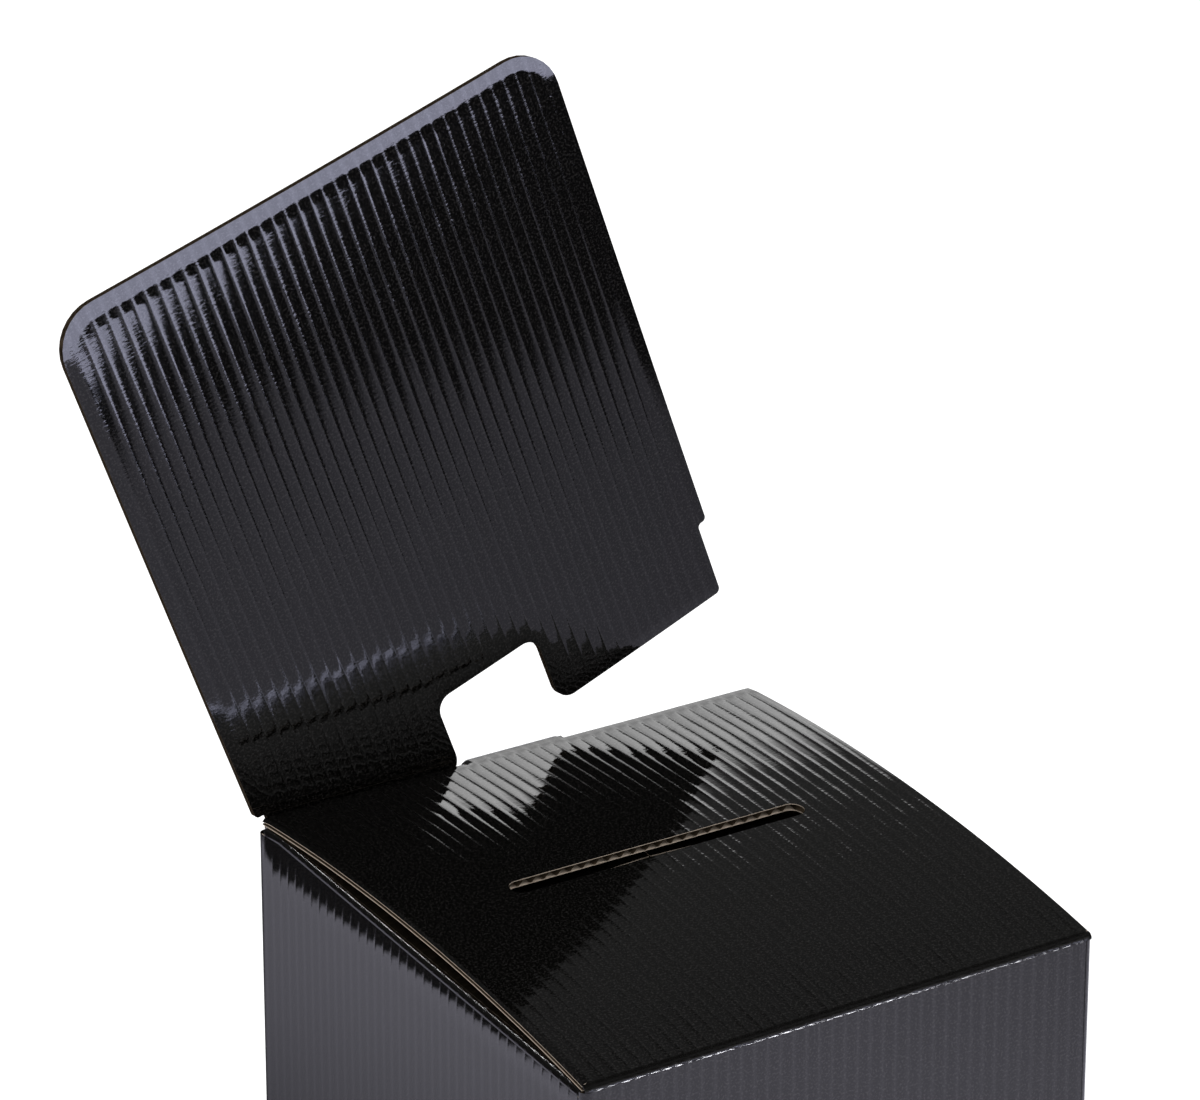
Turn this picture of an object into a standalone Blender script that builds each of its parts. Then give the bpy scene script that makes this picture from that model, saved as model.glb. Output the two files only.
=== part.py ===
"""Corrugated cardboard lead box: a square carton with a slotted lid, folding flaps and a torn-off header card.

Units are metres and +Z is up. The origin is the middle of the base, and -Y is the front.
Every crease has its own solid. Boards that fold outward turn about a round bead on their mid-planes.
Boards that fold inward turn about the inside corner of the wall that carries them.
"""

import math

import bmesh
import bpy
from mathutils import Vector

# Board and clearances
BOARD = 0.004
GAP = 0.0003
SEAM = 0.001
OVERRUN = 0.010

# The carton
BOX_WIDTH = 0.305
BOX_DEPTH = 0.305
FRONT_HEIGHT = 0.330
LID_RISE = 0.0234
LID_ARCH = 0.0095
LID_LEFT_INSET = 0.0015
LID_RIGHT_INSET = 0.0002
TEAR_LINE_INSET = 0.003

# The slot for the cards
SLOT_LENGTH = 0.178
SLOT_WIDTH = 0.0127
SLOT_Y = 0.0105

# Tuck tab on the lid and the slit that locks it
TAB_WIDTH = 0.060
TAB_X = 0.003
TAB_LENGTH = 0.0425
TAB_CORNER = 0.012
SLIT_WIDTH = 0.064
SLIT_HEIGHT = 0.006
SLIT_DROP = 0.0075

# Flaps
DUST_FLAP_INSET = 0.0095
DUST_FLAP_SPRING = 0.005
DUST_SLOT_MARGIN = 0.002
INNER_FLAP_INSET = 0.0065
OUTER_FLAP_INSET = 0.0005
OUTER_SEAM_Y = 0.004
GLUE_FLAP_WIDTH = 0.035
GLUE_FLAP_INSET = 0.004
GLUE_FLAP_CHAMFER = 0.012

# Header card, in its own sheet: x across, z up from its torn lower edge
HEADER_WIDTH = 0.3055
HEADER_HEIGHT = 0.3387
HEADER_TOP_CORNER = 0.0255
HEADER_STEP_HEIGHT = 0.045
HEADER_STEP_IN = 0.006
HEADER_STEP_CORNER = 0.0025
NOTCH_WIDTH = 0.0677
NOTCH_X = -0.00155
NOTCH_DEPTH = 0.0425
NOTCH_CORNER = 0.009
TONGUE_CORNER = 0.010
HEADER_LOWER_CORNER = 0.003
HEADER_TWIST = 0.0050
HEADER_SIDE_BOW = 0.0025
HEADER_END_BOW = 0.0008
HEADER_FLAT_HEIGHT = 0.150
HEADER_X = 0.0085
HEADER_BEHIND = 0.0078
HEADER_LIFT = 0.0265
HEADER_LEAN = math.radians(-4.7)
HEADER_ROLL = math.radians(-18.4)
HEADER_YAW = math.radians(0.45)

# Mesh fineness, in counts
BEAD_SIDES = 16
CORNER_STEPS = 6
ARCH_STEPS = 20
HEADER_CELLS = 12

# Board finishes: colour, roughness, metallic
GLOSS_BLACK = ((0.010, 0.010, 0.011), 0.12, 0.0)
SOFT_BLACK = ((0.030, 0.029, 0.031), 0.30, 0.0)
KRAFT = ((0.330, 0.225, 0.135), 0.85, 0.0)

# Places worked out from the sizes above
HALF_W = BOX_WIDTH / 2
HALF_D = BOX_DEPTH / 2
BEAD_R = BOARD / 2
BEAD_CLEAR = BEAD_R + GAP
INNER_W = HALF_W - BOARD
INNER_D = HALF_D - BOARD
MID_W = HALF_W - BEAD_R
MID_D = HALF_D - BEAD_R
LID_BACK = HALF_D - TEAR_LINE_INSET
BACK_HEIGHT = FRONT_HEIGHT + LID_RISE
OUTER_TOP = BOARD
INNER_BOTTOM = OUTER_TOP + GAP
INNER_TOP = INNER_BOTTOM + BOARD
SIDE_BOTTOM = INNER_TOP + GAP
WALL_BOTTOM = OUTER_TOP + GAP
WALL_FRONT_TOP = FRONT_HEIGHT - BEAD_R - BEAD_CLEAR
WALL_BACK_TOP = BACK_HEIGHT - BOARD - GAP
PANEL_HALF_W = MID_W - BEAD_CLEAR
PANEL_HALF_D = MID_D - BEAD_CLEAR
GLUE_MID_Y = INNER_D - GAP - BEAD_R
RIGHT_BACK = GLUE_MID_Y - BEAD_CLEAR
DUST_DROP = BOARD + GAP
DUST_PIVOT_DROP = DUST_DROP + BOARD
SLOPE = LID_RISE / (LID_BACK + HALF_D)


def chord(y):
    """Height of the straight line along the lid's top face, from its front crease to its back edge."""
    return FRONT_HEIGHT + SLOPE * (y + HALF_D)


def arch_share(y):
    """How far up its arch the lid is at y, from 0 at both ends to 1 in the middle."""
    share = min(max((y + HALF_D) / (LID_BACK + HALF_D), 0), 1)
    return 4 * share * (1 - share)


def lid_top(y):
    return chord(y) + LID_ARCH * arch_share(y)


def steps(start, end, count):
    return [start + (end - start) * i / count for i in range(count + 1)]


def board_material(name, finish):
    colour, roughness, metallic = finish
    material = bpy.data.materials.new(name)
    material.use_nodes = True
    shader = material.node_tree.nodes["Principled BSDF"]
    shader.inputs["Base Color"].default_value = (*colour, 1)
    shader.inputs["Roughness"].default_value = roughness
    shader.inputs["Metallic"].default_value = metallic
    return material


def hinge(name, location):
    """An empty on a joint's axis, which carries the pieces that turn about it."""
    empty = bpy.data.objects.new(name, None)
    empty.location = location
    empty.empty_display_size = BOARD
    bpy.context.collection.objects.link(empty)
    return empty


def piece(name, bm, finish, carrier=None):
    """Makes a named object from a bmesh in world places, hung on its hinge when it has one."""
    bmesh.ops.recalc_face_normals(bm, faces=bm.faces)
    if carrier:
        bmesh.ops.translate(bm, verts=bm.verts, vec=-carrier.location)
    mesh = bpy.data.meshes.new(name)
    bm.to_mesh(mesh)
    bm.free()
    mesh.materials.append(board_material(name, finish))
    obj = bpy.data.objects.new(name, mesh)
    bpy.context.collection.objects.link(obj)
    obj.parent = carrier
    return obj


def rounded(corners):
    """Outline from (a, b, radius) corners, with an arc at each corner that has a radius."""
    outline = []
    count = len(corners)
    for i, (a, b, radius) in enumerate(corners):
        here = Vector((a, b))
        if not radius:
            outline.append(here)
            continue
        back = (Vector(corners[i - 1][:2]) - here).normalized()
        ahead = (Vector(corners[(i + 1) % count][:2]) - here).normalized()
        half = back.angle(ahead) / 2
        centre = here + (back + ahead).normalized() * radius / math.sin(half)
        first = here + back * radius / math.tan(half) - centre
        sweep = first.angle_signed(here + ahead * radius / math.tan(half) - centre)
        for k in range(CORNER_STEPS + 1):
            turn = -sweep * k / CORNER_STEPS
            spoke = Vector((
                first.x * math.cos(turn) - first.y * math.sin(turn),
                first.x * math.sin(turn) + first.y * math.cos(turn),
            ))
            outline.append(centre + spoke)
    return outline


def prism(outline, axis, start, end):
    """Closed solid: an outline on the other two axes, in X, Y, Z order, run along one axis."""
    place = {
        "X": lambda a, b, run: (run, a, b),
        "Y": lambda a, b, run: (a, run, b),
        "Z": lambda a, b, run: (a, b, run),
    }[axis]
    bm = bmesh.new()
    face = bm.faces.new([bm.verts.new(place(a, b, start)) for a, b in outline])
    swept = bmesh.ops.extrude_face_region(bm, geom=[face])["geom"]
    moved = [v for v in swept if isinstance(v, bmesh.types.BMVert)]
    bmesh.ops.translate(bm, verts=moved, vec=Vector(place(0, 0, end - start)))
    return bm


def rectangle(a0, b0, a1, b1):
    return [(a0, b0), (a1, b0), (a1, b1), (a0, b1)]


def slab(rows, top):
    """Closed board of one thickness whose top face follows top(x, y) over rows of (x, y) places."""
    bm = bmesh.new()
    upper = [[bm.verts.new((x, y, top(x, y))) for x, y in row] for row in rows]
    lower = [[bm.verts.new((x, y, top(x, y) - BOARD)) for x, y in row] for row in rows]
    nx, ny = len(rows) - 1, len(rows[0]) - 1
    for i in range(nx):
        for j in range(ny):
            for layer in (upper, lower):
                a, b = layer[i][j], layer[i + 1][j]
                c, d = layer[i + 1][j + 1], layer[i][j + 1]
                bm.faces.new((a, b, c))
                bm.faces.new((a, c, d))
    rim = [(i, 0) for i in range(nx)] + [(nx, j) for j in range(ny)]
    rim += [(i, ny) for i in range(nx, 0, -1)] + [(0, j) for j in range(ny, 0, -1)]
    for (i, j), (k, m) in zip(rim, rim[1:] + rim[:1]):
        bm.faces.new((upper[i][j], upper[k][m], lower[k][m], lower[i][j]))
    return bm


def bead(start, end):
    """Round crease between two places."""
    start, end = Vector(start), Vector(end)
    bm = bmesh.new()
    bmesh.ops.create_cone(
        bm, cap_ends=True, segments=BEAD_SIDES, radius1=BEAD_R, radius2=BEAD_R, depth=(end - start).length
    )
    bmesh.ops.rotate(bm, verts=bm.verts, matrix=(end - start).to_track_quat("Z", "Y").to_matrix())
    bmesh.ops.translate(bm, verts=bm.verts, vec=(start + end) / 2)
    return bm


def quarter_round(side, up, y0, y1, height):
    """Crease of a board that folds inward: a quarter of a round bar about the wall's inside corner."""
    outline = [(side * INNER_W, 0)]
    for angle in steps(0, math.pi / 2, CORNER_STEPS):
        reach = INNER_W + BOARD * math.cos(angle)
        outline.append((side * reach, up * BOARD * math.sin(angle)))
    bm = prism(outline, "Y", y0, y1)
    for v in bm.verts:
        v.co.z += height(v.co.y)
    return bm


def cut(obj, cutter_mesh, name):
    """Boolean difference by a hidden cutter that hangs on the same hinge."""
    cutter = piece(name, cutter_mesh, KRAFT, obj.parent)
    cutter.display_type = "WIRE"
    cutter.hide_render = True
    modifier = obj.modifiers.new(name, "BOOLEAN")
    modifier.operation = "DIFFERENCE"
    modifier.solver = "EXACT"
    modifier.object = cutter


def stadium(length, width, x, y):
    half, radius = length / 2, width / 2
    return rounded([
        (x - half, y - radius, radius),
        (x + half, y - radius, radius),
        (x + half, y + radius, radius),
        (x - half, y + radius, radius),
    ])


def walls():
    front = prism(rectangle(-PANEL_HALF_W, WALL_BOTTOM, PANEL_HALF_W, WALL_FRONT_TOP), "Y", -HALF_D, -INNER_D)
    piece("front_panel", front, SOFT_BLACK)

    back = prism(rectangle(-PANEL_HALF_W, WALL_BOTTOM, HALF_W, WALL_BACK_TOP), "Y", INNER_D, HALF_D)
    back_panel = piece("back_panel", back, SOFT_BLACK)
    slit_top = BACK_HEIGHT - TAB_LENGTH + GAP - SLIT_DROP + SLIT_HEIGHT
    slit = rounded([
        (TAB_X - SLIT_WIDTH / 2, slit_top - SLIT_HEIGHT, SLIT_HEIGHT / 3),
        (TAB_X + SLIT_WIDTH / 2, slit_top - SLIT_HEIGHT, SLIT_HEIGHT / 3),
        (TAB_X + SLIT_WIDTH / 2, slit_top, SLIT_HEIGHT / 3),
        (TAB_X - SLIT_WIDTH / 2, slit_top, SLIT_HEIGHT / 3),
    ])
    cut(back_panel, prism(slit, "Y", INNER_D - OVERRUN, HALF_D + OVERRUN), "locking_slit_cutter")

    for side, back_end in (("left", PANEL_HALF_D), ("right", RIGHT_BACK)):
        sign = -1 if side == "left" else 1
        profile = [
            (-PANEL_HALF_D, SIDE_BOTTOM),
            (back_end, SIDE_BOTTOM),
            (back_end, chord(back_end) - DUST_PIVOT_DROP - GAP),
            (-PANEL_HALF_D, chord(-PANEL_HALF_D) - DUST_PIVOT_DROP - GAP),
        ]
        piece(side + "_panel", prism(profile, "X", sign * INNER_W, sign * HALF_W), SOFT_BLACK)


def wall_creases():
    front_top = chord(-PANEL_HALF_D) - DUST_PIVOT_DROP - GAP
    back_top = chord(PANEL_HALF_D) - DUST_PIVOT_DROP - GAP
    for name, x, y, top in (
        ("front_left_crease", -MID_W, -MID_D, front_top),
        ("front_right_crease", MID_W, -MID_D, front_top),
        ("back_left_crease", -MID_W, MID_D, back_top),
        ("glue_flap_crease", MID_W, GLUE_MID_Y, chord(RIGHT_BACK) - DUST_PIVOT_DROP - GAP),
    ):
        piece(name, bead((x, y, SIDE_BOTTOM), (x, y, top)), GLOSS_BLACK)


def glue_flap():
    """Lies inside the back panel and holds the carton's tube closed."""
    root = MID_W - BEAD_CLEAR
    tip = root - GLUE_FLAP_WIDTH
    low = SIDE_BOTTOM + GLUE_FLAP_INSET
    high = chord(RIGHT_BACK) - DUST_PIVOT_DROP - GLUE_FLAP_INSET
    outline = [
        (tip, low + GLUE_FLAP_CHAMFER),
        (root, low),
        (root, high),
        (tip, high - GLUE_FLAP_CHAMFER),
    ]
    piece("glue_flap", prism(outline, "Y", GLUE_MID_Y - BEAD_R, GLUE_MID_Y + BEAD_R), KRAFT)


def lid():
    left_end, right_end = LID_LEFT_INSET - HALF_W, HALF_W - LID_RIGHT_INSET
    front_axis = (0, -MID_D, FRONT_HEIGHT - BEAD_R)
    piece("lid_crease", bead((left_end, *front_axis[1:]), (right_end, *front_axis[1:])), GLOSS_BLACK)

    lid_hinge = hinge("lid_hinge", front_axis)
    neck_end = HALF_D + GAP + BEAD_R - BEAD_CLEAR
    ys = steps(-PANEL_HALF_D, LID_BACK, ARCH_STEPS) + [neck_end]
    profile = [(y, lid_top(min(y, LID_BACK))) for y in ys]
    profile += [(y, z - BOARD) for y, z in reversed(profile)]
    panel = piece("lid_panel", prism(profile, "X", left_end, right_end), GLOSS_BLACK, lid_hinge)
    low, high = FRONT_HEIGHT - OVERRUN, BACK_HEIGHT + 2 * OVERRUN
    slot = prism(stadium(SLOT_LENGTH, SLOT_WIDTH, 0, SLOT_Y), "Z", low, high)
    cut(panel, slot, "lid_slot_cutter")
    for side, x0, x1 in (
        ("left", left_end - OVERRUN, TAB_X - TAB_WIDTH / 2),
        ("right", TAB_X + TAB_WIDTH / 2, right_end + OVERRUN),
    ):
        strip = prism(rectangle(x0, LID_BACK, x1, HALF_D + OVERRUN), "Z", low, high)
        cut(panel, strip, side + "_tear_line_cutter")

    tab_axis = Vector((TAB_X, HALF_D + GAP + BEAD_R, BACK_HEIGHT - BEAD_R))
    reach = Vector((TAB_WIDTH / 2, 0, 0))
    piece("tuck_tab_crease", bead(tab_axis - reach, tab_axis + reach), GLOSS_BLACK, lid_hinge)

    tab_hinge = hinge("tuck_tab_hinge", tab_axis)
    top, tip = tab_axis.z - BEAD_CLEAR, BACK_HEIGHT - TAB_LENGTH
    outline = rounded([
        (TAB_X - reach.x, top, 0),
        (TAB_X - reach.x, tip, TAB_CORNER),
        (TAB_X + reach.x, tip, TAB_CORNER),
        (TAB_X + reach.x, top, 0),
    ])
    piece("tuck_tab", prism(outline, "Y", tab_axis.y - BEAD_R, tab_axis.y + BEAD_R), GLOSS_BLACK, tab_hinge)


def dust_flaps():
    """Fold in under the lid from the side panels, sprung a little up in the middle.

    Their creases slope, so a flap drifts back as it swings down. Its ends are cut at a slant to stay clear.
    """
    root, free = INNER_W - GAP, SEAM / 2
    root_y = INNER_D - DUST_FLAP_INSET
    free_y = root_y - (root - free) * SLOPE

    def top(x, y):
        return chord(y) - DUST_DROP + DUST_FLAP_SPRING * arch_share(y) * (root - abs(x)) / (root - free)

    for side, sign, back_end in (("left", -1, PANEL_HALF_D), ("right", 1, RIGHT_BACK)):
        crease = quarter_round(sign, 1, -PANEL_HALF_D, back_end, lambda y: chord(y) - DUST_PIVOT_DROP)
        piece(side + "_dust_crease", crease, GLOSS_BLACK)
        carrier = hinge(side + "_dust_hinge", (sign * root, 0, chord(0) - DUST_PIVOT_DROP))
        rows = [[(sign * x, y) for y in steps(-end, end, ARCH_STEPS)] for x, end in ((root, root_y), (free, free_y))]
        body = slab(rows, top)
        flap = piece(side + "_dust_flap", body, GLOSS_BLACK, carrier)
        margin = 2 * DUST_SLOT_MARGIN
        outline = stadium(SLOT_LENGTH + margin, SLOT_WIDTH + margin, 0, SLOT_Y)
        slot = prism(outline, "Z", FRONT_HEIGHT - 2 * OVERRUN, BACK_HEIGHT + OVERRUN)
        cut(flap, slot, side + "_dust_slot_cutter")


def bottom_flaps():
    """Two inner flaps from the side panels lie on two outer flaps from the front and back panels."""
    root, free = INNER_W - GAP, SEAM / 2
    y_end = INNER_D - INNER_FLAP_INSET
    for side, sign, back_end in (("left", -1, PANEL_HALF_D), ("right", 1, RIGHT_BACK)):
        crease = quarter_round(sign, -1, -PANEL_HALF_D, back_end, lambda y: INNER_TOP)
        piece("bottom_" + side + "_crease", crease, SOFT_BLACK)
        carrier = hinge("bottom_" + side + "_hinge", (sign * root, 0, INNER_TOP))
        outline = rectangle(sign * root, -y_end, sign * free, y_end)
        piece("bottom_" + side + "_flap", prism(outline, "Z", INNER_BOTTOM, INNER_TOP), SOFT_BLACK, carrier)

    half = HALF_W - OUTER_FLAP_INSET
    for side, sign in (("front", -1), ("back", 1)):
        axis = (0, sign * MID_D, BEAD_R)
        ends = (-PANEL_HALF_W, *axis[1:]), (PANEL_HALF_W, *axis[1:])
        piece("bottom_" + side + "_crease", bead(*ends), SOFT_BLACK)
        carrier = hinge("bottom_" + side + "_hinge", axis)
        outline = rectangle(-half, sign * PANEL_HALF_D, half, OUTER_SEAM_Y + sign * SEAM / 2)
        piece("bottom_" + side + "_flap", prism(outline, "Z", 0, OUTER_TOP), SOFT_BLACK, carrier)


def header_outline():
    """Card with round upper corners, a narrower foot and the notch that the tuck tab was cut from."""
    half, foot = HEADER_WIDTH / 2, HEADER_WIDTH / 2 - HEADER_STEP_IN
    left, right = NOTCH_X - NOTCH_WIDTH / 2, NOTCH_X + NOTCH_WIDTH / 2
    return rounded([
        (-foot, 0, HEADER_LOWER_CORNER),
        (left, 0, TONGUE_CORNER),
        (left, NOTCH_DEPTH, NOTCH_CORNER),
        (right, NOTCH_DEPTH, NOTCH_CORNER),
        (right, 0, TONGUE_CORNER),
        (foot, 0, HEADER_LOWER_CORNER),
        (foot, HEADER_STEP_HEIGHT, HEADER_STEP_CORNER),
        (half, HEADER_STEP_HEIGHT, HEADER_STEP_CORNER),
        (half, HEADER_HEIGHT, HEADER_TOP_CORNER),
        (-half, HEADER_HEIGHT, HEADER_TOP_CORNER),
        (-half, HEADER_STEP_HEIGHT, HEADER_STEP_CORNER),
        (-foot, HEADER_STEP_HEIGHT, HEADER_STEP_CORNER),
    ])


def header_bow(x, z):
    """How far forward the warped card stands from its own flat plane."""
    across = x / (HEADER_WIDTH / 2)
    along = (z - HEADER_FLAT_HEIGHT) / (HEADER_HEIGHT / 2)
    return HEADER_TWIST * across * along - HEADER_SIDE_BOW * across ** 2 + HEADER_END_BOW * along ** 2


def header_card():
    """Built flat in its own sheet, warped, then placed behind the back panel, leaning and tilted."""
    bm = prism(header_outline(), "Y", 0, BOARD)
    for x in steps(-HEADER_WIDTH / 2, HEADER_WIDTH / 2, HEADER_CELLS)[1:-1]:
        geometry = bm.verts[:] + bm.edges[:] + bm.faces[:]
        bmesh.ops.bisect_plane(bm, geom=geometry, plane_co=(x, 0, 0), plane_no=(1, 0, 0))
    for z in steps(0, HEADER_HEIGHT, HEADER_CELLS)[1:-1]:
        geometry = bm.verts[:] + bm.edges[:] + bm.faces[:]
        bmesh.ops.bisect_plane(bm, geom=geometry, plane_co=(0, 0, z), plane_no=(0, 0, 1))
    bmesh.ops.triangulate(bm, faces=bm.faces[:])
    for v in bm.verts:
        v.co.y -= header_bow(v.co.x, v.co.z)
    card = piece("header_card", bm, GLOSS_BLACK)
    card.location = (HEADER_X, HALF_D + HEADER_BEHIND, FRONT_HEIGHT + HEADER_LIFT)
    card.rotation_mode = "YXZ"
    card.rotation_euler = (HEADER_LEAN, HEADER_ROLL, HEADER_YAW)


for old in list(bpy.data.objects):
    bpy.data.objects.remove(old)
walls()
wall_creases()
glue_flap()
lid()
dust_flaps()
bottom_flaps()
header_card()
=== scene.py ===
import math

import bmesh
import bpy
import numpy as np
from mathutils import Euler, Matrix, Vector, noise


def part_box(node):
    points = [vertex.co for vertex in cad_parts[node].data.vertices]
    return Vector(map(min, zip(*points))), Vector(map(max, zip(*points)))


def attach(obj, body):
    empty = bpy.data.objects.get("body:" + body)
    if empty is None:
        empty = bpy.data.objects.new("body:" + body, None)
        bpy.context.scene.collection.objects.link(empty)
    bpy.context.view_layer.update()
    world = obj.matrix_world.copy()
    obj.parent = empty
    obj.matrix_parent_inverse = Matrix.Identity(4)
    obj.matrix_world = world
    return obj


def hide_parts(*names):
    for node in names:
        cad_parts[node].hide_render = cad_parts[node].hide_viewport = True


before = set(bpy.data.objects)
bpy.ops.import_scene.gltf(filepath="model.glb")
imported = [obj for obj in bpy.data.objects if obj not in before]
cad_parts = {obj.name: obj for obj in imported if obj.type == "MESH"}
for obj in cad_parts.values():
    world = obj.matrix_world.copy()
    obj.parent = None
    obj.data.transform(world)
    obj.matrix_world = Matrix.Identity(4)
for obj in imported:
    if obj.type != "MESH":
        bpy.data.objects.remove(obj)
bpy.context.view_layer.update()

mm = 0.001
scene = bpy.context.scene
print("frame loaded")

# the corrugated board: a washboarded outer liner, a fluted core and an inner liner, built flat
sheet = {
    "thickness": 4 * mm, "liner": 0.36 * mm, "core": 0.24 * mm, "pitch": 7.68 * mm, "sink": 0.09 * mm,
    "slack": 0.05 * mm, "coreSteps": 8, "coarse": 9.6 * mm, "ridge": 10, "hump": 0.22,
    "uneven": 0.45, "unevenSize": 80 * mm, "pressLimit": 0.75, "knifeLow": -9 * mm, "knifeHigh": 5 * mm,
    "spare": 0.02, "sharpAngle": 40,
    "stops": (-0.5, -0.32, -0.2, -0.14, -0.1, -0.07, -0.035, 0, 0.035, 0.07, 0.1, 0.14, 0.2, 0.32),
}


# shader graphs: sums are written as Python sums, every other node comes from Graph.add
class Wire:
    def __init__(self, graph, socket):
        self.graph = graph
        self.socket = socket

    def maths(self, operation, *values):
        return self.graph.add("ShaderNodeMath", {"operation": operation}, dict(enumerate(values)))

    def __add__(self, other):
        return self.maths("ADD", self, other)

    def __sub__(self, other):
        return self.maths("SUBTRACT", self, other)

    def __rsub__(self, other):
        return self.maths("SUBTRACT", other, self)

    def __mul__(self, other):
        return self.maths("MULTIPLY", self, other)

    def __truediv__(self, other):
        return self.maths("DIVIDE", self, other)

    def over(self, limit):
        return self.maths("GREATER_THAN", self, limit)

    def under(self, limit, width):
        # 1 well below the limit and 0 above it, softly over the width
        return ((limit - self) / width + 0.5).clamped()

    def clamped(self):
        return self.graph.add("ShaderNodeClamp", {}, {"Value": self})

    __radd__ = __add__
    __rmul__ = __mul__


class Graph:
    def __init__(self, tree):
        self.tree = tree
        tree.nodes.clear()

    def add(self, kind, settings=None, sockets=None, output=0):
        node = self.tree.nodes.new(kind)
        for name, value in (settings or {}).items():
            setattr(node, name, value)
        for name, value in (sockets or {}).items():
            socket = node.inputs[name]
            if isinstance(value, Wire):
                self.tree.links.new(value.socket, socket)
            elif isinstance(value, tuple) and len(value) == 3 and socket.type == "RGBA":
                socket.default_value = (*value, 1)
            else:
                socket.default_value = value
        return Wire(self, node.outputs[output]) if node.outputs else node

    def mixColour(self, share, first, second):
        return self.add("ShaderNodeMix", {"data_type": "RGBA"}, {0: share, 6: first, 7: second}, 2)

    def grain(self, place, scale, detail=2.0, rough=0.5):
        sockets = {"Vector": place, "Scale": scale, "Detail": detail, "Roughness": rough}
        return self.add("ShaderNodeTexNoise", {}, sockets)


def newMaterial(name):
    material = bpy.data.materials.new(name)
    material.use_nodes = True
    return material, Graph(material.node_tree)


def objectPlace(graph):
    return graph.add("ShaderNodeTexCoord", {}, {}, 3)


def stretched(graph, place, scale):
    return graph.add("ShaderNodeMapping", {}, {"Vector": place, "Scale": scale})


# scales are noise cells in a metre
glossLook = {
    "ink": (0.0010, 0.0009, 0.0007), "dust": (0.030, 0.028, 0.027), "ior": 1.5,
    "roughLow": 0.015, "roughHigh": 0.04, "cloudScale": 14.0,
    "peel": 0.0010 * mm, "peelScale": 1300.0, "flankSlope": 3.6,
    "foldScale": (240.0, 600.0, 1.0), "patchScale": 45.0, "patchGain": 2.4, "patchFloor": 0.6,
    "speckScale": 520.0, "speckLimit": 0.76, "speckRough": 0.05, "speckDust": 0.5,
    "fineScale": 800.0, "fineGain": 5.0, "fineDust": 0.6,
    "scuffWidth": 0.11, "scuffWander": 0.3, "scuffGain": 14.0, "scuffFade": 0.07,
    "ribVarnish": 0.16, "grainVarnish": 0.22, "varnishGain": 4.0,
}


def glossyBlack(name, crinkle, everywhere, scuff, scuffStart):
    # the varnish follows the sheet: "sheet" holds each point's place across and along the flutes, and how far
    # a pressed edge has flattened it
    look = glossLook
    material, graph = newMaterial(name)
    label = graph.add("ShaderNodeAttribute", {"attribute_name": "sheet"}, {}, 1)
    place = stretched(graph, label, (1.0, 1.0, 0.0))
    across, along, calm = [graph.add("ShaderNodeSeparateXYZ", {}, {"Vector": label}, k) for k in (0, 1, 2)]
    fromTip = across.maths("PINGPONG", across / sheet["pitch"], 0.5)
    flank = (1.0 - fromTip * look["flankSlope"]).clamped()
    cloud = graph.grain(place, look["cloudScale"], 3.0, 0.6)
    peel = graph.grain(place, look["peelScale"], 2.0, 0.6)
    folds = graph.grain(stretched(graph, place, look["foldScale"]), 1.0, 2.0, 0.55)
    patches = graph.grain(place, look["patchScale"], 1.0, 0.5)
    speck = graph.grain(place, look["speckScale"], 1.0, 0.4).over(look["speckLimit"])
    fine = graph.grain(place, look["fineScale"], 1.0, 0.6) - 0.5

    strength = (flank + everywhere) * (patches * look["patchGain"] - look["patchFloor"]).clamped()
    height = folds * strength * crinkle + peel * look["peel"]
    bump = graph.add("ShaderNodeBump", {}, {"Strength": 1.0, "Distance": 1.0, "Height": height})

    fromScuff = (folds - 0.5) * look["scuffWander"] + look["scuffWidth"] - fromTip
    scuffed = (fromScuff * look["scuffGain"]).clamped() * (1.0 - calm)
    scuffed = scuffed * ((along - scuffStart) / look["scuffFade"]).clamped()
    rough = cloud * (look["roughHigh"] - look["roughLow"]) + look["roughLow"]
    rough = (rough + speck * look["speckRough"] + scuffed * scuff).clamped()

    varnish = flank * look["ribVarnish"] + (fine * look["varnishGain"]).clamped() * look["grainVarnish"]
    dusty = speck * look["speckDust"] + (fine * look["fineGain"]).clamped() * look["fineDust"]
    shader = graph.add("ShaderNodeBsdfPrincipled", {}, {
        "Base Color": graph.mixColour(dusty, look["ink"], look["dust"]),
        "Roughness": rough, "IOR": look["ior"], "Normal": bump, "Coat Weight": varnish,
    })
    graph.add("ShaderNodeOutputMaterial", {}, {"Surface": shader})
    return material


kraftLook = {
    "pale": (0.46, 0.33, 0.20), "deep": (0.30, 0.20, 0.115), "fleck": (0.18, 0.115, 0.065),
    # the cut edges' tones: kraft that is paler at a raw cut, raised further as painted light where the lamps
    # leave the edges dim
    "edgePaleWithPaintedLight": (0.86, 0.74, 0.62), "edgeDeepWithPaintedLight": (0.70, 0.57, 0.45),
    "cloudScale": 60.0, "fibreScale": 700.0, "fibreStretch": (1.0, 1.0, 6.0), "fleckScale": 260.0,
    "fleckLimit": 0.70, "fibreShare": 0.5, "fleckShare": 0.5, "fibreHeight": 0.3 * mm, "fibreBump": 0.3,
    "specular": 0.3,
}


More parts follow.
